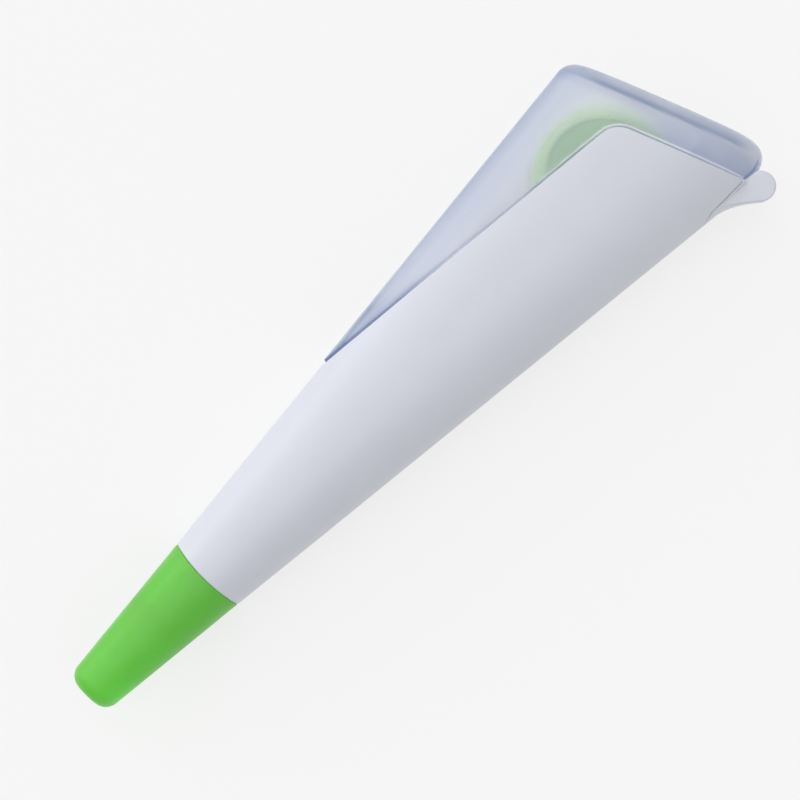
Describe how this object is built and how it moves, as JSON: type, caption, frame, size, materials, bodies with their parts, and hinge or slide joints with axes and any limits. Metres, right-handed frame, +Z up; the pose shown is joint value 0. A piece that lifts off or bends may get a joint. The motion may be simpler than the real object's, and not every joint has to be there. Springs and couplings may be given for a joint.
{
  "type": "correction tape pen",
  "caption": "Pen-style correction tape: wedge-shaped white sheath, translucent reel case with a slanted tail, green pull-off cap and a geared tape drive with a blade applicator.",
  "frame": {"origin": "on the supply reel's axis, in the flat of the back that the pen lies on", "axes": "+X along the pen from the tip to the tail, +Y to the window side, +Z up from the back to the front"},
  "size_m": [0.1494, 0.0416, 0.0184],
  "materials": {
    "white_cover": "moulded, satin gloss",
    "clear_case": "moulded, translucent",
    "green_cap": "moulded, satin gloss",
    "green_reel": "moulded",
    "frame_plastic": "moulded",
    "gear_plastic": "moulded",
    "clutch_rubber": "moulded",
    "tip_rubber": "moulded",
    "tape": "coated film, wound",
    "film": "bare film"
  },
  "bodies": {
    "root": {"front_cover": "white_cover", "rear_cover": "white_cover", "front_case": "clear_case", "rear_case": "clear_case", "nose_collar": "frame_plastic", "chassis": "frame_plastic", "post_cap": "gear_plastic", "idler_cap": "gear_plastic", "take_up_cap": "gear_plastic", "applicator": "frame_plastic", "tip_pad": "tip_rubber", "tape_feed": "tape", "tape_return": "film"},
    "cap": {"cap": "green_cap"},
    "supply_drive": {"supply_gear": "gear_plastic", "clutch_ring": "clutch_rubber"},
    "supply": {"supply_reel": "green_reel", "tape_roll": "tape"},
    "idler": {"idler_gear": "gear_plastic"},
    "take_up": {"take_up_spool": "gear_plastic", "take_up_flange": "gear_plastic", "take_up_film": "film"}
  },
  "joints": [
    {"name": "cap_pull", "type": "slide", "parent": "root", "child": "cap", "axis": [-1, 0, 0], "range_m": [0, 0.04]},
    {"name": "supply_spin", "type": "hinge", "parent": "root", "child": "supply_drive", "pos_m": [0, 0, 0.009], "axis": [0, 0, 1], "continuous": true},
    {"name": "clutch_slip", "type": "hinge", "parent": "supply_drive", "child": "supply", "pos_m": [0, 0, 0.009], "axis": [0, 0, 1], "continuous": true},
    {"name": "idler_spin", "type": "hinge", "parent": "root", "child": "idler", "pos_m": [-0.018, 0, 0.005], "axis": [0, 0, 1], "continuous": true},
    {"name": "take_up_spin", "type": "hinge", "parent": "root", "child": "take_up", "pos_m": [-0.029, 0, 0.009], "axis": [0, 0, 1], "continuous": true}
  ],
  "couplings": [
    {"joint": "idler_spin", "follows": "supply_spin", "ratio": -2},
    {"joint": "take_up_spin", "follows": "supply_spin", "ratio": 2.4}
  ]
}
